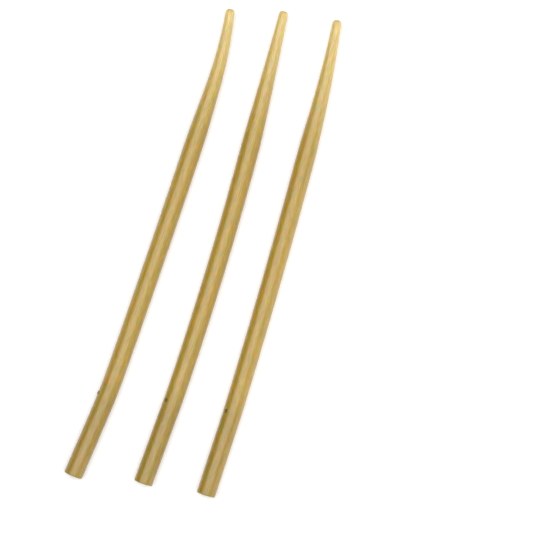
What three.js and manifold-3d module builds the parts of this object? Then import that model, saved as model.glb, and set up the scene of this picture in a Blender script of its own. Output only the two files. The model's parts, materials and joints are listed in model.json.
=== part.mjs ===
// Set of three loose ribbon wands: tapered amber jackets moulded over a springy core rod.
// Millimetres and degrees, +Z up. The wands lie on z = 0 with their bends in the
// horizontal plane, butts towards -Y and tips towards +Y.
import * as THREE from 'three';
import { mergeVertices } from 'three/addons/utils/BufferGeometryUtils.js';
import Module from 'manifold-3d';

// ---- Driving dimensions -------------------------------------------------------------
const LENGTH = 312.3;          // along the centreline, butt face to tip face
const SHAFT_R = 6;             // outside radius of the parallel stretch
const TIP_R = 2.75;            // outside radius that the taper reaches at the tip
const TAPER_LENGTH = 84.8;     // the taper, measured back from the tip
const SHOULDER = 9;            // half-length of the soft shoulder into the taper
const BUTT_EDGE_R = 0.8;       // rounded edge of the square-cut butt
const NOSE_LENGTH = 2.3;       // rounding of the tip, along the axis
const NOSE_RIM = 0.1;          // small flat left around the eye bush
const CORE_R = 1.5;            // glass-fibre core rod
const DOWEL_R = 3.5;           // stiffening dowel inside the grip
const DOWEL_END = 58;          // station of the dowel's front end
const SOCKET_DEPTH = 14;       // how far the core rod plugs into the dowel
const PLUG_LENGTH = 4;         // end plug that closes the butt
const PLUG_CHAMFER = 0.4;
const BUSH_R = 0.7;            // eye bush in the tip, outside
const BUSH_BORE_R = 0.35;      // pilot bore for the ribbon's eye
const BUSH_LENGTH = 8;
const PIN_SETBACK = 3.4;       // retaining pin, measured back from the dowel's front end
const PIN_R = 0.6;
const PIN_HEAD_R = 1.2;
const PIN_HEAD_HEIGHT = 0.4;
const PIN_BITE = 0.9;          // how deep the pin enters the dowel
const CLEARANCE = 0.3;         // between any two neighbouring pieces

// ---- How each wand has set: it bows towards its left, most of all at the tip ---------
// tipBend is the length of the last arc, measured back from the tip.
const GRIP_BEND_START = 46;    // the grip is straight as far as this station
const GRIP_BEND_END = 70;
const WANDS = [
  { name: 'left', butt: [-43.7, -8], heading: 6.5, gripTurn: -3.85, bowTurn: -1.3,
    tipBend: 52.3, tipTurn: -10.4, pinAngle: 14 },
  { name: 'middle', butt: [0, 0], heading: 3.4, gripTurn: -1.5, bowTurn: -4,
    tipBend: 82.3, tipTurn: -1.3, pinAngle: 48 },
  { name: 'right', butt: [40, 4.3], heading: 1.4, gripTurn: -1.3, bowTurn: -2.1,
    tipBend: 62.3, tipTurn: -4.8, pinAngle: 48 },
];

// ---- Places worked out from the sizes ----------------------------------------------------
const TAPER_START = LENGTH - TAPER_LENGTH;
const SHOULDER_START = TAPER_START - SHOULDER;
const NOSE_START = LENGTH - NOSE_LENGTH;
const NOSE_FACE_R = BUSH_R + CLEARANCE + NOSE_RIM;
const BUSH_START = LENGTH - BUSH_LENGTH;
const SOCKET_FLOOR = DOWEL_END - SOCKET_DEPTH;
const PIN_STATION = DOWEL_END - PIN_SETBACK;
const PIN_FOOT = DOWEL_R - PIN_BITE;
const PIN_SEAT = SHAFT_R + CLEARANCE;

// ---- Facets ---------------------------------------------------------------------------
const JACKET_SIDES = 24;
const ROD_SIDES = 12;
const SMALL_SIDES = 16;
const EDGE_STEPS = 3;
const NOSE_STEPS = 6;
const GRIP_STEP = 6;           // spacing of the rings in the grip bend
const BOW_STEP = 21;           // in the long, nearly straight stretch
const TIP_STEP = 6.5;          // in the taper

const rad = THREE.MathUtils.degToRad;

// ---- Materials ------------------------------------------------------------------------
function material(color, roughness, metalness, opacity = 1) {
  return new THREE.MeshStandardMaterial({
    color, roughness, metalness, opacity, transparent: opacity < 1,
  });
}

const materials = {
  amber: material(0xc9a55c, 0.32, 0, 0.85),
  fibre: material(0xe0cd98, 0.5, 0),
  dowel: material(0xb99a62, 0.6, 0),
  brass: material(0xd8b56a, 0.35, 1),
  pin: material(0x6d6a4c, 0.45, 1),
};

// ---- Profiles: x is the radius, y the station along the wand --------------------------
// Outside radius of the jacket: parallel, then a soft shoulder into a straight taper.
function jacketRadius(station) {
  const slope = (SHAFT_R - TIP_R) / TAPER_LENGTH;
  const past = station - SHOULDER_START;
  if (past <= 0) return SHAFT_R;
  if (past >= 2 * SHOULDER) return SHAFT_R - slope * (station - TAPER_START);
  return SHAFT_R - (slope * past * past) / (4 * SHOULDER);
}

// Ring stations strictly between two ends, closest together where the wand bends.
function ringsBetween(from, to) {
  const runs = [
    [GRIP_BEND_START, GRIP_BEND_END, GRIP_STEP],
    [GRIP_BEND_END, SHOULDER_START, BOW_STEP],
    [SHOULDER_START, NOSE_START, TIP_STEP],
  ];
  const rings = [];
  for (const [start, end, spacing] of runs) {
    const count = Math.max(1, Math.round((end - start) / spacing));
    for (let i = 0; i < count; i += 1) rings.push(start + ((end - start) * i) / count);
  }
  return rings.filter((station) => station > from + 1 && station < to - 1);
}

// A quarter of an ellipse around a corner centre, from angle a to angle b in degrees.
function quarter(centreR, centreS, radiusR, radiusS, a, b, steps) {
  const points = [];
  for (let i = 0; i <= steps; i += 1) {
    const angle = rad(a + ((b - a) * i) / steps);
    points.push(new THREE.Vector2(
      centreR + radiusR * Math.cos(angle), centreS + radiusS * Math.sin(angle)));
  }
  return points;
}

const point = (radius, station) => new THREE.Vector2(radius, station);

function jacketProfile() {
  const dowelBore = DOWEL_R + CLEARANCE;
  const coreBore = CORE_R + CLEARANCE;
  const bushBore = BUSH_R + CLEARANCE;
  const bushSeat = BUSH_START - CLEARANCE;
  const dowelSeat = DOWEL_END + CLEARANCE;
  const noseR = jacketRadius(NOSE_START) - NOSE_FACE_R;
  const outside = [
    ...quarter(SHAFT_R - BUTT_EDGE_R, BUTT_EDGE_R, BUTT_EDGE_R, BUTT_EDGE_R, -90, 0, EDGE_STEPS),
    ...ringsBetween(BUTT_EDGE_R, NOSE_START).map((s) => point(jacketRadius(s), s)),
    ...quarter(NOSE_FACE_R, NOSE_START, noseR, NOSE_LENGTH, 0, 90, NOSE_STEPS),
  ];
  const bore = [
    point(bushBore, LENGTH), point(bushBore, bushSeat), point(coreBore, bushSeat),
    ...ringsBetween(dowelSeat, bushSeat).reverse().map((s) => point(coreBore, s)),
    point(coreBore, dowelSeat), point(dowelBore, dowelSeat),
    ...ringsBetween(0, dowelSeat).reverse().map((s) => point(dowelBore, s)),
    point(dowelBore, 0),
  ];
  return [...outside, ...bore, outside[0].clone()];
}

function coreProfile() {
  const start = SOCKET_FLOOR + CLEARANCE;
  const end = BUSH_START - 2 * CLEARANCE;
  return [
    point(0, start), point(CORE_R, start),
    ...ringsBetween(start, end).map((s) => point(CORE_R, s)),
    point(CORE_R, end), point(0, end),
  ];
}

function dowelProfile() {
  const start = PLUG_LENGTH + CLEARANCE;
  const socketR = CORE_R + CLEARANCE;
  return [
    point(0, start), point(DOWEL_R, start),
    ...ringsBetween(start, DOWEL_END).map((s) => point(DOWEL_R, s)),
    point(DOWEL_R, DOWEL_END), point(socketR, DOWEL_END),
    ...ringsBetween(SOCKET_FLOOR, DOWEL_END).reverse().map((s) => point(socketR, s)),
    point(socketR, SOCKET_FLOOR), point(0, SOCKET_FLOOR),
  ];
}

function plugProfile() {
  return [
    point(0, 0), point(DOWEL_R - PLUG_CHAMFER, 0), point(DOWEL_R, PLUG_CHAMFER),
    point(DOWEL_R, PLUG_LENGTH), point(0, PLUG_LENGTH),
  ];
}

function bushProfile() {
  return [
    point(BUSH_BORE_R, BUSH_START), point(BUSH_R, BUSH_START), point(BUSH_R, LENGTH),
    point(BUSH_BORE_R, LENGTH), point(BUSH_BORE_R, BUSH_START),
  ];
}

// The pin stands on the wand's axis: x is its own radius, y the distance from that axis.
function pinProfile() {
  const top = PIN_SEAT + PIN_HEAD_HEIGHT;
  const chamfer = PIN_HEAD_HEIGHT / 2;
  return [
    point(0, PIN_FOOT), point(PIN_R, PIN_FOOT), point(PIN_R, PIN_SEAT),
    point(PIN_HEAD_R, PIN_SEAT), point(PIN_HEAD_R, top - chamfer),
    point(PIN_HEAD_R - chamfer, top), point(0, top),
  ];
}

function pinHoleProfile() {
  const holeR = PIN_R + CLEARANCE;
  const floor = PIN_FOOT - CLEARANCE;
  const mouth = PIN_SEAT + PIN_HEAD_HEIGHT;
  return [point(0, floor), point(holeR, floor), point(holeR, mouth), point(0, mouth)];
}

// ---- Bending --------------------------------------------------------------------------
// The centreline is a straight grip and three arcs that join smoothly. Returns the place
// and heading at a station.
function centreline(wand) {
  const runs = [
    { start: 0, end: GRIP_BEND_START, turn: 0 },
    { start: GRIP_BEND_START, end: GRIP_BEND_END, turn: wand.gripTurn },
    { start: GRIP_BEND_END, end: LENGTH - wand.tipBend, turn: wand.bowTurn },
    { start: LENGTH - wand.tipBend, end: LENGTH, turn: wand.tipTurn },
  ];
  return (station) => {
    let [x, y] = wand.butt;
    let heading = rad(wand.heading);
    for (const run of runs) {
      const along = Math.min(station, run.end) - run.start;
      if (along <= 0 && run.start > 0) break;
      const turned = (rad(run.turn) * along) / (run.end - run.start);
      const half = turned / 2;
      const chord = Math.abs(half) > 1e-9 ? (along * Math.sin(half)) / half : along;
      x += chord * Math.sin(heading + half);
      y += chord * Math.cos(heading + half);
      heading += turned;
    }
    return { x, y, heading };
  };
}

// Moves every vertex of a straight, upright lathe body onto the wand's centreline.
function bend(geometry, wand) {
  const at = centreline(wand);
  const position = geometry.attributes.position;
  for (let i = 0; i < position.count; i += 1) {
    const across = position.getX(i);
    const { x, y, heading } = at(position.getY(i));
    position.setXYZ(i, x + across * Math.cos(heading), y - across * Math.sin(heading),
      SHAFT_R + position.getZ(i));
  }
  return geometry;
}

// Turns a body made upright about the origin out along the pin's own axis.
function alongPin(geometry, wand) {
  const { x, y, heading } = centreline(wand)(PIN_STATION);
  const rise = Math.sin(rad(wand.pinAngle));
  const reach = Math.cos(rad(wand.pinAngle));
  const outward = new THREE.Vector3(
    -reach * Math.cos(heading), reach * Math.sin(heading), rise);
  const turn = new THREE.Quaternion().setFromUnitVectors(new THREE.Vector3(0, 1, 0), outward);
  return geometry.applyQuaternion(turn).translate(x, y, SHAFT_R);
}

// ---- Booleans -------------------------------------------------------------------------
const wasm = await Module();
wasm.setup();

function toManifold(geometry) {
  const bare = geometry.clone();
  bare.deleteAttribute('normal');
  bare.deleteAttribute('uv');
  const merged = mergeVertices(bare, 1e-4);
  return new wasm.Manifold(new wasm.Mesh({
    numProp: 3,
    vertProperties: new Float32Array(merged.attributes.position.array),
    triVerts: new Uint32Array(merged.index.array),
  }));
}

function cut(geometry, tool) {
  const { vertProperties, triVerts } = toManifold(geometry).subtract(toManifold(tool)).getMesh();
  const result = new THREE.BufferGeometry();
  result.setAttribute('position', new THREE.BufferAttribute(vertProperties, 3));
  result.setIndex(new THREE.BufferAttribute(triVerts, 1));
  result.computeVertexNormals();
  return result;
}

// ---- Assembly -------------------------------------------------------------------------
const lathe = (profile, sides) => new THREE.LatheGeometry(profile, sides);

function pinHole(wand) {
  return alongPin(lathe(pinHoleProfile(), SMALL_SIDES), wand);
}

function makeWand(wand) {
  const pieces = {
    jacket: [cut(bend(lathe(jacketProfile(), JACKET_SIDES), wand), pinHole(wand)), 'amber'],
    core_rod: [bend(lathe(coreProfile(), ROD_SIDES), wand), 'fibre'],
    grip_dowel: [cut(bend(lathe(dowelProfile(), SMALL_SIDES), wand), pinHole(wand)), 'dowel'],
    butt_plug: [bend(lathe(plugProfile(), SMALL_SIDES), wand), 'amber'],
    tip_bush: [bend(lathe(bushProfile(), ROD_SIDES), wand), 'brass'],
    grip_pin: [alongPin(lathe(pinProfile(), ROD_SIDES), wand), 'pin'],
  };
  const group = new THREE.Group();
  for (const [piece, [geometry, finish]] of Object.entries(pieces)) {
    const mesh = new THREE.Mesh(geometry, materials[finish]);
    mesh.name = `${wand.name}_${piece}`;
    group.add(mesh);
  }
  return group;
}

const set = new THREE.Group();
for (const wand of WANDS) set.add(makeWand(wand));

// The origin is under the middle of the whole set.
const bounds = new THREE.Box3().setFromObject(set, true);
const middle = bounds.getCenter(new THREE.Vector3());
set.position.set(-middle.x, -middle.y, -bounds.min.z);

export default set;
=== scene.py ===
# %% [markdown]
# # A set of three loose ribbon wands
#
# Each wand is a tapered stick of translucent amber resin, moulded over a springy core
# rod, with a dowel that stiffens the grip. The CAD model fixes where the wands lie, how
# big they are and how they bend. This script rebuilds every piece with a fine, smooth
# surface in the same place and gives it its material. The frame comes first, because
# every later position is measured from it.

# %% The frame and its box
import json
import math

import bmesh
import bpy
from mathutils import Matrix, Vector


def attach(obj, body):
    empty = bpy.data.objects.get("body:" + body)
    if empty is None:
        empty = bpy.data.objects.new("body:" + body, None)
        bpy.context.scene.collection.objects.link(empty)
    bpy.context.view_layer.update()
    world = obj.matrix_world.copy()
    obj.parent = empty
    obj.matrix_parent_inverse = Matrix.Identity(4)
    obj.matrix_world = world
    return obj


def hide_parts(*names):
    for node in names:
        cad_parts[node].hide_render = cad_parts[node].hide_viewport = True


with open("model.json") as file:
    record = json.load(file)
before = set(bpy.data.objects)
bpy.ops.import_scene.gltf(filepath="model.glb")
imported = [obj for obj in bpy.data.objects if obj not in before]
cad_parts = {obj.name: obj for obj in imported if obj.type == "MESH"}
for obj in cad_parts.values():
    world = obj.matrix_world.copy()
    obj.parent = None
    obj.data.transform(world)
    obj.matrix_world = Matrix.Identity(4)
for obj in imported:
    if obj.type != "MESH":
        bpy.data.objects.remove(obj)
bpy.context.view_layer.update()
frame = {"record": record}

# %% [markdown]
# ## Sizes
#
# A wand is easiest to describe while it is still straight: a station is a distance along
# its middle line from the butt, and every shape is a radius at a station. The sizes are
# the CAD model's own, in metres and degrees. Where the real pieces are moulded or pressed
# together the CAD leaves a gap. Here that gap closes to a slight press, so that the resin
# grips its core without a film of air, which would shine like a mirror inside it.

# %% Sizes
MM = 0.001
LENGTH = 312.3 * MM
SHAFT_R = 6 * MM
TIP_R = 2.75 * MM
TAPER_LENGTH = 84.8 * MM
SHOULDER = 9 * MM
BUTT_EDGE_R = 0.8 * MM
NOSE_LENGTH = 2.3 * MM
NOSE_RIM = 0.1 * MM
CORE_R = 1.5 * MM
DOWEL_R = 3.5 * MM
DOWEL_END = 58 * MM
SOCKET_DEPTH = 14 * MM
PLUG_LENGTH = 4 * MM
PLUG_CHAMFER = 0.4 * MM
BUSH_R = 0.7 * MM
BUSH_BORE_R = 0.35 * MM
BUSH_LENGTH = 8 * MM
PIN_STATION = DOWEL_END - 3.4 * MM
PIN_R = 0.6 * MM
PIN_HEAD_R = 1.2 * MM
PIN_HEAD_HEIGHT = 0.4 * MM
PIN_HEAD_EDGE = 0.3 * MM
PIN_BITE = 0.9 * MM
CLEARANCE = 0.3 * MM
PRESS = 0.02 * MM

TAPER_START = LENGTH - TAPER_LENGTH
NOSE_START = LENGTH - NOSE_LENGTH
BUSH_START = LENGTH - BUSH_LENGTH
SOCKET_FLOOR = DOWEL_END - SOCKET_DEPTH


def shaft_radius(station):
    """Parallel, then a soft shoulder into a straight taper."""
    slope = (SHAFT_R - TIP_R) / TAPER_LENGTH
    past = station - (TAPER_START - SHOULDER)
    if past <= 0:
        return SHAFT_R
    if past >= 2 * SHOULDER:
        return SHAFT_R - slope * (past - SHOULDER)
    return SHAFT_R - slope * past * past / (4 * SHOULDER)


print("shaft", SHAFT_R / MM, "mm, tip", shaft_radius(LENGTH) / MM, "mm in radius")

# %% [markdown]
# ## How each wand lies
#
# The resin has set with a bend just past the grip dowel and a longer one in the thin tip.
# The middle line is a straight run and three arcs that join smoothly. Where it starts and
# which way it points come from the mount on the wand's butt face, and the mount on the
# tip shows at once whether the bends are right.

# %% The middle line
GRIP_BEND = (46 * MM, 70 * MM)
WANDS = {
    "left": {"number": 0, "grip": -3.85, "bow": -1.3, "tip": -10.4, "tip_length": 52.3 * MM,
             "pin_angle": 14},
    "middle": {"number": 1, "grip": -1.5, "bow": -4, "tip": -1.3, "tip_length": 82.3 * MM,
               "pin_angle": 48},
    "right": {"number": 2, "grip": -1.3, "bow": -2.1, "tip": -4.8, "tip_length": 62.3 * MM,
              "pin_angle": 48},
}
MOUNTS = {mount["name"]: mount for mount in frame["record"]["mounts"]}


def middle_line(wand):
    """Returns a function: station to the matrix that carries a straight slice there."""
    bends = WANDS[wand]
    tip_bend = LENGTH - bends["tip_length"]
    runs = (
        (0, GRIP_BEND[0], 0),
        (*GRIP_BEND, bends["grip"]),
        (GRIP_BEND[1], tip_bend, bends["bow"]),
        (tip_bend, LENGTH, bends["tip"]),
    )
    butt = MOUNTS[f"{wand}_butt_face"]

    def place(station):
        x, y, z = butt["pos_m"]
        heading = math.atan2(-butt["axis"][0], -butt["axis"][1])
        for start, end, turn in runs:
            along = min(station, end) - start
            if along <= 0 < start:
                break  # the station lies before this run
            turned = math.radians(turn) * along / (end - start)
            chord = along * (math.sin(turned / 2) / (turned / 2) if turned else 1)
            x += chord * math.sin(heading + turned / 2)
            y += chord * math.cos(heading + turned / 2)
            heading += turned
        return (Matrix.Translation((x, y, z)) @ Matrix.Rotation(-heading, 4, "Z")
                @ Matrix.Translation((0, -station, 0)))

    return place


for wand in WANDS:
    tip = middle_line(wand)(LENGTH) @ Vector((0, LENGTH, 0))
    mount = Vector(MOUNTS[f"{wand}_tip_face"]["pos_m"])
    print(wand, "tip is", round((tip.xy - mount.xy).length / MM, 3), "mm from its mount")

# %% [markdown]
# ## Patterns that several finishes share
#
# Drawn resin, pultruded fibre and sawn wood all show marks that run with the stick, and
# every turned or sawn end shows faint rings. Each effect is one node group, built once and
# placed in each material with its own numbers. A painted image could be wrapped round the
# stick instead, but a computed pattern has no seam and stays sharp at any size.
#
# Noise seldom strays far from its middle value, so every mask stretches that middle part
# to the full range from 0 to 1.
#
# The patterns are laid out on the straight wand. Each point of a piece remembers where it
# was before bending, in the attribute `straight`, so streaks follow every bend. A second
# attribute, `wand`, numbers the wands, so that no two of them share a pattern.

# %% Helpers for node trees
def start_group(name, numbers, outputs):
    """Opens a node group with a Place vector, a Wand number and further numbers."""
    group = bpy.data.node_groups.new(name, "ShaderNodeTree")
    group.interface.new_socket("Place", in_out="INPUT", socket_type="NodeSocketVector")
    for label in ("Wand", *numbers):
        group.interface.new_socket(label, in_out="INPUT", socket_type="NodeSocketFloat")
    for label in outputs:
        group.interface.new_socket(label, in_out="OUTPUT", socket_type="NodeSocketFloat")
    return group, group.nodes.new("NodeGroupInput"), group.nodes.new("NodeGroupOutput")


def add_node(tree, kind, links=None, **settings):
    """Adds a node, links or sets its inputs by name, and sets its other options."""
    node = tree.nodes.new(kind)
    for option, value in settings.items():
        setattr(node, option, value)
    for label, source in (links or {}).items():
        if isinstance(source, bpy.types.NodeSocket):
            tree.links.new(source, node.inputs[label])
        else:
            node.inputs[label].default_value = source
    return node


def spread(tree, value, low, high, start=0.0, end=1.0):
    """Stretches the part of a value between low and high to a new range."""
    node = add_node(tree, "ShaderNodeMapRange", {"Value": value, "From Min": low, "From Max": high,
                                                 "To Min": start, "To Max": end})
    return node.outputs["Result"]


# %% Node group: marks that run with the stick
DRIFT_SHARE = 0.3


def build_streaks():
    group, given, result = start_group("lengthwise_streaks", ["Strands", "Draw"], ["Streak", "Drift"])
    squeeze = add_node(group, "ShaderNodeCombineXYZ", {"X": 1.0, "Y": given.outputs["Draw"], "Z": 1.0})
    drawn = add_node(group, "ShaderNodeVectorMath",
                     {0: given.outputs["Place"], 1: squeeze.outputs["Vector"]}, operation="MULTIPLY")
    coarse = add_node(group, "ShaderNodeMath", {0: given.outputs["Strands"], 1: DRIFT_SHARE},
                      operation="MULTIPLY")
    scales = {"Streak": given.outputs["Strands"], "Drift": coarse.outputs["Value"]}
    for label, scale in scales.items():
        noise = add_node(group, "ShaderNodeTexNoise",
                         {"Vector": drawn.outputs["Vector"], "W": given.outputs["Wand"],
                          "Scale": scale, "Detail": 3.0, "Roughness": 0.6}, noise_dimensions="4D")
        even = spread(group, noise.outputs["Fac"], 0.28, 0.72)
        group.links.new(even, result.inputs[label])
    return group


STREAKS = build_streaks()
print("group", STREAKS.name, "with", len(STREAKS.nodes), "nodes")


# %% Node group: rings left by a lathe or a saw
def build_turning():
    group, given, result = start_group("turning_marks", ["Rings"], ["Ring"])
    flat = add_node(group, "ShaderNodeVectorMath", {0: given.outputs["Place"], 1: (1, 0, 1)},
                    operation="MULTIPLY")
    radius = add_node(group, "ShaderNodeVectorMath", {0: flat.outputs["Vector"]}, operation="LENGTH")
    split = add_node(group, "ShaderNodeSeparateXYZ", {"Vector": given.outputs["Place"]})
    path = add_node(group, "ShaderNodeMath", {0: radius.outputs["Value"], 1: split.outputs["Y"]},
                    operation="ADD")
    shifted = add_node(group, "ShaderNodeMath", {0: path.outputs["Value"], 1: given.outputs["Wand"]},
                       operation="ADD")
    noise = add_node(group, "ShaderNodeTexNoise",
                     {"W": shifted.outputs["Value"], "Scale": given.outputs["Rings"],
                      "Detail": 2.0, "Roughness": 0.5}, noise_dimensions="1D")
    group.links.new(spread(group, noise.outputs["Fac"], 0.3, 0.7), result.inputs["Ring"])
    return group


TURNING = build_turning()
print("group", TURNING.name, "with", len(TURNING.nodes), "nodes")


# %% Node group: dulled patches where hands have been
def build_handling():
    group, given, result = start_group("handling", ["Patches"], ["Smudge", "Speck"])
    patches = add_node(group, "ShaderNodeTexNoise",
                       {"Vector": given.outputs["Place"], "W": given.outputs["Wand"],
                        "Scale": given.outputs["Patches"], "Detail": 4.0, "Roughness": 0.65},
                       noise_dimensions="4D")
    fine = add_node(group, "ShaderNodeMath", {0: given.outputs["Patches"], 1: 20.0},
                    operation="MULTIPLY")
    specks = add_node(group, "ShaderNodeTexNoise",
                      {"Vector": given.outputs["Place"], "W": given.outputs["Wand"],
                       "Scale": fine.outputs["Value"], "Detail": 2.0, "Roughness": 0.5},
                      noise_dimensions="4D")
    group.links.new(spread(group, patches.outputs["Fac"], 0.35, 0.65), result.inputs["Smudge"])
    group.links.new(spread(group, specks.outputs["Fac"], 0.55, 0.8), result.inputs["Speck"])
    return group


HANDLING = build_handling()
print("group", HANDLING.name, "with", len(HANDLING.nodes), "nodes")

# %% [markdown]
# ## Starting a finish
#
# Every finish is a Principled shader, which already mixes body colour, gloss and
# see-through the way real surfaces do. Numbers that hold all over a piece are set on the
# shader itself. What changes over the surface is linked to it afterwards.

# %% Helpers for finishes
FINISHES = {}


def start_finish(name, color, roughness, **sockets):
    """Makes the material and returns its tree, its shader and where each point lies."""
    material = bpy.data.materials.new(f"{name}_finish")
    material.use_nodes = True
    tree = material.node_tree
    shader = tree.nodes["Principled BSDF"]
    shader.inputs["Base Color"].default_value = (*color, 1)
    shader.inputs["Roughness"].default_value = roughness
    for socket, value in sockets.items():
        shader.inputs[socket.replace("_", " ")].default_value = value
    where = {
        "Place": add_node(tree, "ShaderNodeAttribute", attribute_name="straight").outputs["Vector"],
        "Wand": add_node(tree, "ShaderNodeAttribute", attribute_name="wand").outputs["Fac"],
    }
    FINISHES[name] = material
    return tree, shader, where


def place_group(tree, group, where, **numbers):
    return add_node(tree, "ShaderNodeGroup", {**where, **numbers}, node_tree=group)


def mix_colors(tree, factor, first, second, blend_type="MIX"):
    """Mixes two colours by a mask, or tints the first with the second."""
    links = {"Factor": factor}
    for side, color in (("A", first), ("B", second)):
        links[side] = color if isinstance(color, bpy.types.NodeSocket) else (*color, 1)
    node = add_node(tree, "ShaderNodeMix", data_type="RGBA", blend_type=blend_type)
    sockets = {socket.identifier: socket for socket in node.inputs}
    targets = {"Factor": "Factor_Float", "A": "A_Color", "B": "B_Color"}
    for label, source in links.items():
        target = sockets[targets[label]]
        if isinstance(source, bpy.types.NodeSocket):
            tree.links.new(source, target)
        else:
            target.default_value = source
    return next(socket for socket in node.outputs if socket.identifier == "Result_Color")


def add_relief(tree, shader, height, strength, depth):
    """Turns a height mask into relief that the light picks up."""
    bump = add_node(tree, "ShaderNodeBump",
                    {"Height": height, "Strength": strength, "Distance": depth})
    tree.links.new(bump.outputs["Normal"], shader.inputs["Normal"])


# %% [markdown]
# ## Amber resin
#
# The stick is drawn from honey-coloured resin. Light goes some way in, loses its blue and
# comes back, so the thick shaft is deeper in colour than the thin tip. Full glass would
# show everything inside, and a plain opaque paint would look dead. The finish sits in
# between: a tinted body that lets a third of the light in, absorption inside, and a
# clear skin on top. The resin is cloudy: patches two or three millimetres across are a
# little greener or redder, yellower or milkier, and less so in the thin tip. Drawing
# leaves fine streaks, which are shallow grooves too. The sawn end is paler and duller.
#
# Strands say how many streaks fit in a metre across the stick, and a Draw of 0.1 makes
# each ten times as long as it is wide. The patches use the group's Drift, which is about
# three times as broad. The tints multiply the body colour, so 1 changes nothing. Girth is
# the stick's radius there as a share of the shaft's. Handling dulls the skin in patches,
# but its roughness stays at 0.29 or more, because at 0.27 the render shows dark flecks.

# %% Amber resin
HONEY = (0.558, 0.366, 0.049)
TIP_HONEY = (0.92, 0.71, 0.26)
SAWN_HONEY = (0.80, 0.69, 0.40)
GRIP_TONE = (0.85, 0.845, 0.79)
GRIP_FADE = 8 * MM
SAWN_DEPTH = 0.5 * MM

GREENER = (0.82, 1.08, 1.0)
REDDER = (1.18, 0.92, 1.0)
YELLOWER = (1.03, 1.02, 0.3)
MILKIER = (0.98, 0.97, 1.45)
CLOUD_STRANDS = 1150.0
HAZE_STRANDS = 1050.0
CLOUD_DRAW = 0.7
TIP_MOTTLE = 0.4
TIP_GIRTH = 0.5
NECK_GIRTH = 0.9

DARK_STREAK = (0.70, 0.69, 0.67)
LIGHT_STREAK = (1.20, 1.21, 1.23)
FINE_STRANDS = 1900.0
FINE_DRAW = 0.08
GROOVE_STRENGTH = 0.25
GROOVE_DEPTH = 0.05 * MM

CLEARNESS = 0.33
REFRACTION = 1.5
ABSORBED = (0.74, 0.60, 0.0)
ABSORPTION = 60
GLOSS = 0.3
GLOSS_RANGE = (GLOSS - 0.01, GLOSS + 0.06)
SKIN = 0.36
SKIN_GLOSS = 0.35
HAND_PATCHES = 90.0


def amber_resin(name, sawn_color):
    """Makes the resin finish, with its own colour for the sawn face."""
    tree, shader, where = start_finish(name, HONEY, GLOSS, Transmission_Weight=CLEARNESS,
                                       IOR=REFRACTION, Coat_Weight=SKIN,
                                       Coat_Roughness=SKIN_GLOSS)
    girth = add_node(tree, "ShaderNodeAttribute", attribute_name="girth").outputs["Fac"]
    body = mix_colors(tree, spread(tree, girth, TIP_GIRTH, 1.0), TIP_HONEY, HONEY)
    split = add_node(tree, "ShaderNodeSeparateXYZ", {"Vector": where["Place"]})
    over_dowel = spread(tree, split.outputs["Y"], DOWEL_END + GRIP_FADE, DOWEL_END - GRIP_FADE)
    body = mix_colors(tree, over_dowel, body, mix_colors(tree, 1.0, body, GRIP_TONE, "MULTIPLY"))
    clouds = place_group(tree, STREAKS, where, Strands=CLOUD_STRANDS, Draw=CLOUD_DRAW)
    hue = mix_colors(tree, clouds.outputs["Drift"], GREENER, REDDER)
    mottled = spread(tree, girth, TIP_GIRTH, NECK_GIRTH, TIP_MOTTLE, 1.0)
    body = mix_colors(tree, mottled, body, hue, "MULTIPLY")
    haze = place_group(tree, STREAKS, where, Strands=HAZE_STRANDS, Draw=CLOUD_DRAW)
    milk = mix_colors(tree, haze.outputs["Drift"], YELLOWER, MILKIER)
    body = mix_colors(tree, mottled, body, milk, "MULTIPLY")
    fine = place_group(tree, STREAKS, where, Strands=FINE_STRANDS, Draw=FINE_DRAW)
    tone = mix_colors(tree, fine.outputs["Streak"], DARK_STREAK, LIGHT_STREAK)
    body = mix_colors(tree, 1.0, body, tone, "MULTIPLY")
    sawn = spread(tree, split.outputs["Y"], SAWN_DEPTH, SAWN_DEPTH / 5)
    tree.links.new(mix_colors(tree, sawn, body, sawn_color), shader.inputs["Base Color"])
    handled = place_group(tree, HANDLING, where, Patches=HAND_PATCHES)
    dull = add_node(tree, "ShaderNodeMath", {0: handled.outputs["Smudge"], 1: sawn},
                    operation="MAXIMUM")
    tree.links.new(spread(tree, dull.outputs["Value"], 0, 1, *GLOSS_RANGE),
                   shader.inputs["Roughness"])
    add_relief(tree, shader, fine.outputs["Streak"], GROOVE_STRENGTH, GROOVE_DEPTH)
    absorption = add_node(tree, "ShaderNodeVolumeAbsorption",
                          {"Color": (*ABSORBED, 1), "Density": ABSORPTION})
    tree.links.new(absorption.outputs["Volume"], tree.nodes["Material Output"].inputs["Volume"])
    print(name, "made with", len(tree.nodes), "nodes")


amber_resin("amber_jacket", SAWN_HONEY)

# %% [markdown]
# ## End plug
#
# The plug is cut from the same resin and faced flush with the butt, so it takes the same
# finish, with a face a shade paler than the jacket's rim around it.

# %% Butt plug finish
PLUG_FACE = (0.84, 0.74, 0.46)

amber_resin("butt_plug", PLUG_FACE)

# %% [markdown]
# ## Drawn fibre
#
# The core is a rod of glass fibres pulled through a die with resin. Its strands are much
# finer than the jacket's streaks and strongly drawn out, and broken ones stand out white.

# %% Fibre core
FIBRE = (0.74, 0.60, 0.31)
FIBRE_SHADOW = (0.56, 0.42, 0.18)
BARE_GLASS = (0.90, 0.86, 0.72)

tree, shader, where = start_finish("fibre_core", FIBRE, 0.5)
strands = place_group(tree, STREAKS, where, Strands=4200.0, Draw=0.012)
body = mix_colors(tree, strands.outputs["Streak"], FIBRE_SHADOW, FIBRE)
broken = spread(tree, strands.outputs["Drift"], 0.75, 0.95)
tree.links.new(mix_colors(tree, broken, body, BARE_GLASS), shader.inputs["Base Color"])
tree.links.new(spread(tree, strands.outputs["Drift"], 0, 1, 0.42, 0.6), shader.inputs["Roughness"])
add_relief(tree, shader, strands.outputs["Streak"], 0.5, 0.03 * MM)
print("fibre_core made with", len(tree.nodes), "nodes")

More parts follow.
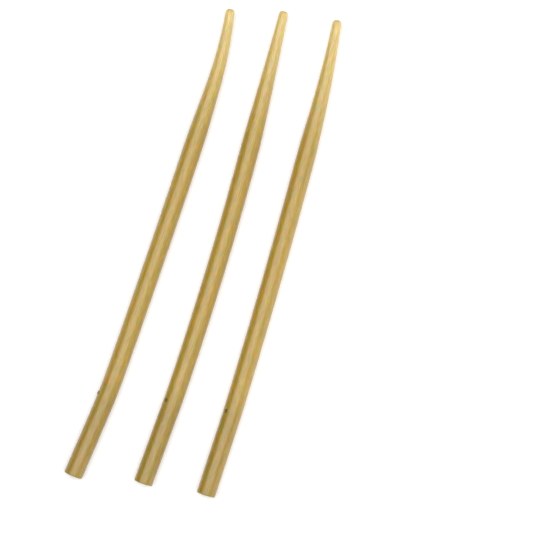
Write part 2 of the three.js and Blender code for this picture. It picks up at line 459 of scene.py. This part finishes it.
# %% [markdown]
# ## Dowel wood
#
# A dowel is turned from straight-grained ash. Its growth rings are arcs round the heart
# of the tree, which lies well off to one side of the dowel. That is the ring pattern of a
# turned face with its centre moved, so the same group draws both. Open pores run along it.

# %% Grip dowel
EARLY_WOOD = (0.70, 0.53, 0.27)
LATE_WOOD = (0.47, 0.31, 0.13)
PORE = (0.32, 0.20, 0.09)
HEART = (34 * MM, 0, 9 * MM)
FLAT_GRAIN = (1, 0.02, 1)

tree, shader, where = start_finish("grip_dowel", EARLY_WOOD, 0.6)
moved = add_node(tree, "ShaderNodeVectorMath", {0: where["Place"], 1: FLAT_GRAIN, 2: HEART},
                 operation="MULTIPLY_ADD")
growth = place_group(tree, TURNING, {**where, "Place": moved.outputs["Vector"]}, Rings=620.0)
body = mix_colors(tree, growth.outputs["Ring"], EARLY_WOOD, LATE_WOOD)
pores = place_group(tree, STREAKS, where, Strands=3000.0, Draw=0.03)
open_pore = spread(tree, pores.outputs["Streak"], 0.72, 0.95)
tree.links.new(mix_colors(tree, open_pore, body, PORE), shader.inputs["Base Color"])
tree.links.new(spread(tree, growth.outputs["Ring"], 0, 1, 0.62, 0.5), shader.inputs["Roughness"])
add_relief(tree, shader, pores.outputs["Streak"], 0.5, -0.06 * MM)
print("grip_dowel made with", len(tree.nodes), "nodes")

# %% [markdown]
# ## Turned brass
#
# The bush in the tip is parted off a brass bar. The tool leaves rings, on the face as well
# as along the side, and fingers dull it in patches.

# %% Tip bush
BRIGHT_BRASS = (0.86, 0.72, 0.43)
TARNISH = (0.55, 0.42, 0.20)

tree, shader, where = start_finish("tip_bush", BRIGHT_BRASS, 0.35, Metallic=1.0)
rings = place_group(tree, TURNING, where, Rings=9000.0)
handled = place_group(tree, HANDLING, where, Patches=700.0)
tree.links.new(mix_colors(tree, handled.outputs["Smudge"], BRIGHT_BRASS, TARNISH),
               shader.inputs["Base Color"])
tree.links.new(spread(tree, handled.outputs["Smudge"], 0, 1, 0.25, 0.5), shader.inputs["Roughness"])
add_relief(tree, shader, rings.outputs["Ring"], 0.5, 0.01 * MM)
print("tip_bush made with", len(tree.nodes), "nodes")

# %% [markdown]
# ## Browned pin
#
# The pin has a small domed head, chemically browned to an olive tone so that it doesn't
# catch the eye. Handling rubs the brown off in specks.

# %% Grip pin
BROWNING = (0.20, 0.16, 0.035)
BROWNING_DEEP = (0.13, 0.105, 0.025)
RUBBED = (0.30, 0.24, 0.10)

tree, shader, where = start_finish("grip_pin", BROWNING, 0.45, Metallic=0.3)
handled = place_group(tree, HANDLING, where, Patches=1500.0)
body = mix_colors(tree, handled.outputs["Smudge"], BROWNING, BROWNING_DEEP)
tree.links.new(mix_colors(tree, handled.outputs["Speck"], body, RUBBED), shader.inputs["Base Color"])
tree.links.new(spread(tree, handled.outputs["Smudge"], 0, 1, 0.38, 0.55), shader.inputs["Roughness"])
rings = place_group(tree, TURNING, where, Rings=6000.0)
add_relief(tree, shader, rings.outputs["Ring"], 0.3, 0.01 * MM)
print("grip_pin made with", len(tree.nodes), "nodes")

# %% [markdown]
# ## Turning a body
#
# Every piece but the pin is round about the wand, so it is made as a turner would make
# it: an outline of radius and station is spun once round the axis. Drawing it as a curve
# with a bevel would be quicker but leaves no square ends or bores. Only when the straight
# body is whole is each ring of it carried to its place on the bent wand.

# %% Helpers for turned bodies
def stations(start, end, spacing=2 * MM):
    count = max(1, round((end - start) / spacing))
    return [start + (end - start) * step / count for step in range(count + 1)]


def rounded(centre, reach, first, last, steps=6):
    """Points of a rounded corner, from one angle to another in degrees."""
    angles = [math.radians(first + (last - first) * step / steps) for step in range(steps + 1)]
    return [(centre[0] + reach[0] * math.cos(angle), centre[1] + reach[1] * math.sin(angle))
            for angle in angles]


def spin_outline(bm, outline, sides, closed=False):
    """Spins an outline of (radius, station) points once round the Y axis."""
    points = [bm.verts.new((radius, station, 0)) for radius, station in outline]
    ends = points[1:] + points[:1] if closed else points[1:]
    edges = [bm.edges.new(pair) for pair in zip(points, ends)]
    bmesh.ops.spin(bm, geom=points + edges, cent=(0, 0, 0), axis=(0, 1, 0),
                   dvec=(0, 0, 0), angle=math.tau, steps=sides, use_merge=True)
    bmesh.ops.remove_doubles(bm, verts=bm.verts, dist=1e-7)
    bmesh.ops.recalc_face_normals(bm, faces=bm.faces)


def remember_place(bm, wand):
    """Keeps each point's straight place, its wand and how thick the wand is there."""
    straight = bm.verts.layers.float_vector.new("straight")
    number = bm.verts.layers.float.new("wand")
    girth = bm.verts.layers.float.new("girth")
    for vert in bm.verts:
        vert[straight] = vert.co
        vert[number] = WANDS[wand]["number"]
        vert[girth] = shaft_radius(vert.co.y) / SHAFT_R


def turned(outline, wand, sides, closed=False):
    """Turns a straight body and bends it to the wand."""
    bm = bmesh.new()
    spin_outline(bm, outline, sides, closed)
    remember_place(bm, wand)
    rings = {}
    for vert in bm.verts:
        rings.setdefault(round(vert.co.y, 7), []).append(vert)
    place = middle_line(wand)
    for station, ring in rings.items():
        bmesh.ops.transform(bm, matrix=place(station), verts=ring)
    return bm


def add_piece(wand, piece_name, bm, finish):
    """Makes a smooth-shaded object from the bmesh and hangs it on the frame."""
    name = f"{wand}_{piece_name}"
    mesh = bpy.data.meshes.new(f"{name}_fine")
    bm.to_mesh(mesh)
    bm.free()
    mesh.shade_smooth()
    mesh.set_sharp_from_angle(angle=math.radians(40))
    mesh.materials.append(FINISHES[finish])
    piece = bpy.data.objects.new(f"{name}_fine", mesh)
    bpy.context.scene.collection.objects.link(piece)
    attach(piece, "root")
    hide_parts(name)
    print(piece.name, "has", len(mesh.polygons), "faces")


# %% [markdown]
# ## Jackets
#
# The jacket is the stick that you see and hold: one resin body, square at the butt with a
# small rounded edge, parallel, tapered, and rounded over at the tip. Inside it has three
# bores in a row, for the dowel, the core rod and the bush, so the outline runs up the
# outside and back down through the bores to close on itself.

# %% Jackets
def jacket_outline():
    bush_bore = BUSH_R - PRESS
    core_bore = CORE_R - PRESS
    dowel_bore = DOWEL_R - PRESS
    face_r = BUSH_R + CLEARANCE + NOSE_RIM
    edge_centre = (SHAFT_R - BUTT_EDGE_R, BUTT_EDGE_R)
    nose_reach = (shaft_radius(NOSE_START) - face_r, NOSE_LENGTH)
    outside = rounded(edge_centre, (BUTT_EDGE_R, BUTT_EDGE_R), -90, 0)
    outside += [(shaft_radius(s), s) for s in stations(BUTT_EDGE_R, NOSE_START)[1:-1]]
    outside += rounded((face_r, NOSE_START), nose_reach, 0, 90, steps=10)
    bores = [(bush_bore, LENGTH), (bush_bore, BUSH_START)]
    bores += [(core_bore, s) for s in reversed(stations(DOWEL_END, BUSH_START))]
    bores += [(dowel_bore, s) for s in reversed(stations(0, DOWEL_END))]
    return outside + bores


for wand in WANDS:
    add_piece(wand, "jacket", turned(jacket_outline(), wand, 64, closed=True), "amber_jacket")


# %% [markdown]
# ## Core rods
#
# The springy rod inside runs from the dowel's socket to the bush. It is a plain rod, but
# it needs a slice every few millimetres to follow the bends.

# %% Core rods
def core_outline():
    side = [(CORE_R, s) for s in stations(SOCKET_FLOOR, BUSH_START)]
    return [(0, SOCKET_FLOOR), *side, (0, BUSH_START)]


for wand in WANDS:
    add_piece(wand, "core_rod", turned(core_outline(), wand, 32), "fibre_core")


# %% [markdown]
# ## Grip dowels
#
# The dowel fills the wide bore at the butt and stiffens the grip. The socket drilled in
# its front end holds the core rod, so its outline turns back inside.

# %% Grip dowels
def dowel_outline():
    socket_r = CORE_R - PRESS
    side = [(DOWEL_R, s) for s in stations(PLUG_LENGTH, DOWEL_END)]
    socket = [(socket_r, s) for s in reversed(stations(SOCKET_FLOOR, DOWEL_END))]
    return [(0, PLUG_LENGTH), *side, *socket, (0, SOCKET_FLOOR)]


for wand in WANDS:
    add_piece(wand, "grip_dowel", turned(dowel_outline(), wand, 48), "grip_dowel")


# %% [markdown]
# ## Butt plugs
#
# A short plug closes the bore behind the dowel. Its small chamfer catches a thin ring of
# light on the butt face, which shows that the butt is two pieces and not one.

# %% Butt plugs
def plug_outline():
    return [(0, 0), (DOWEL_R - PLUG_CHAMFER, 0), (DOWEL_R, PLUG_CHAMFER),
            (DOWEL_R, PLUG_LENGTH), (0, PLUG_LENGTH)]


for wand in WANDS:
    add_piece(wand, "butt_plug", turned(plug_outline(), wand, 48), "butt_plug")


# %% [markdown]
# ## Tip bushes
#
# The bush lines the hole in the tip that the ribbon's eye screws into. It ends flush.

# %% Tip bushes
def bush_outline():
    return [(BUSH_BORE_R, BUSH_START), (BUSH_R, BUSH_START), (BUSH_R, LENGTH),
            (BUSH_BORE_R, LENGTH)]


for wand in WANDS:
    add_piece(wand, "tip_bush", turned(bush_outline(), wand, 24, closed=True), "tip_bush")


# %% [markdown]
# ## Grip pins
#
# One pin through the jacket's wall keeps the dowel from working loose. It is turned on its
# own axis, tipped over so that its axis is a radius of the wand, and carried to its
# station.

# %% Grip pins
def pin_outline():
    foot = DOWEL_R - PIN_BITE
    top = SHAFT_R + PIN_HEAD_HEIGHT
    underside = SHAFT_R - CLEARANCE
    edge_centre = (PIN_HEAD_R - PIN_HEAD_EDGE, top - PIN_HEAD_EDGE)
    edge = rounded(edge_centre, (PIN_HEAD_EDGE, PIN_HEAD_EDGE), 0, 90)
    return [(0, foot), (PIN_R, foot), (PIN_R, underside), (PIN_HEAD_R, underside), *edge, (0, top)]


def pin(wand):
    bm = bmesh.new()
    spin_outline(bm, pin_outline(), 32)
    remember_place(bm, wand)
    tip_over = Matrix.Rotation(math.radians(WANDS[wand]["pin_angle"]), 4, "Y")
    lie_across = Matrix.Rotation(math.radians(90), 4, "Z")
    on_axis = Matrix.Translation((0, PIN_STATION, 0))
    matrix = middle_line(wand)(PIN_STATION) @ on_axis @ tip_over @ lie_across
    bmesh.ops.transform(bm, matrix=matrix, verts=bm.verts)
    return bm


for wand in WANDS:
    add_piece(wand, "grip_pin", pin(wand), "grip_pin")

# %% [markdown]
# ## Floor
#
# The wands lie on one wide sheet of matt white acrylic, as in a catalogue shot. A little
# light comes up through it, which lifts the shadows under the sticks almost to white. A
# faint grain keeps it from being a perfectly even plane.

# %% Floor
FLOOR_HALF = 4
FLOOR_WHITE = (0.9, 0.9, 0.9)
GLOW = 0.16

bm = bmesh.new()
bmesh.ops.create_grid(bm, x_segments=1, y_segments=1, size=FLOOR_HALF)
mesh = bpy.data.meshes.new("floor")
bm.to_mesh(mesh)
bm.free()
floor = bpy.data.objects.new("floor", mesh)
bpy.context.scene.collection.objects.link(floor)
tree, shader, where = start_finish("acrylic_sheet", FLOOR_WHITE, 0.9, Emission_Strength=GLOW)
shader.inputs["Emission Color"].default_value = (1, 1, 1, 1)
place = add_node(tree, "ShaderNodeTexCoord").outputs["Object"]
grain = place_group(tree, HANDLING, {"Place": place, "Wand": 0.0}, Patches=40.0)
tree.links.new(spread(tree, grain.outputs["Smudge"], 0, 1, 0.85, 0.95), shader.inputs["Roughness"])
mesh.materials.append(FINISHES["acrylic_sheet"])
print("floor is", 2 * FLOOR_HALF, "m wide")

# %% [markdown]
# ## Light
#
# A round glossy stick mirrors whatever stands round it, so each lamp draws a stripe along
# the wand. A broad softbox straight above gives the bright middle band. A card on the right
# lifts that half, and a low strip behind it gives the thin second band near the right edge.
# Nothing stands on the left, so that flank stays deep.

# %% Light
OVERHEAD = 14.8
CARD = 2.1
STRIP = 3.0

world = bpy.data.worlds.new("studio")
world.use_nodes = True
world.node_tree.nodes["Background"].inputs["Color"].default_value = (1, 1, 1, 1)
world.node_tree.nodes["Background"].inputs["Strength"].default_value = 0.0
bpy.context.scene.world = world


def softbox(name, place, size, power):
    """An evenly lit rectangle that faces the middle of the scene."""
    light = bpy.data.lights.new(name, "AREA")
    light.shape = "RECTANGLE"
    light.size, light.size_y = size
    light.energy = power
    lamp = bpy.data.objects.new(name, light)
    lamp.visible_camera = False
    facing = Vector(place).to_track_quat("Z", "Y").to_matrix().to_4x4()
    lamp.matrix_world = Matrix.Translation(place) @ facing
    bpy.context.scene.collection.objects.link(lamp)
    print(name, "softbox", size, "m at", power, "W")


softbox("overhead", (-0.05, 0.0, 0.9), (1.0, 1.5), OVERHEAD)
softbox("right_card", (0.8, 0.1, 0.5), (1.4, 0.5), CARD)
softbox("low_strip", (1.0, 0.1, 0.09), (1.5, 0.14), STRIP)

# %% [markdown]
# ## Camera
#
# The camera looks almost straight down from well above, turned a little so that the wands
# lean to the right. Its lens is as long as it needs to be to frame a field of a third of
# a metre from there. Colours are shown as they are, without a film look.

# %% Camera
ROLL = 16.67
LEAN = 2.0
DISTANCE = 1.4
FIELD = 0.34987
AIM = Vector((0.04434, -0.00468, 0.006))
SENSOR = 36

camera_data = bpy.data.cameras.new("camera")
camera_data.sensor_width = SENSOR
camera_data.lens = SENSOR * DISTANCE / FIELD
camera = bpy.data.objects.new("camera", camera_data)
turn = Matrix.Rotation(math.radians(ROLL), 4, "Z") @ Matrix.Rotation(math.radians(LEAN), 4, "X")
camera.matrix_world = Matrix.Translation(AIM) @ turn @ Matrix.Translation((0, 0, DISTANCE))
bpy.context.scene.collection.objects.link(camera)
bpy.context.scene.camera = camera
bpy.context.scene.view_settings.view_transform = "Standard"
print("lens", round(camera_data.lens), "mm")
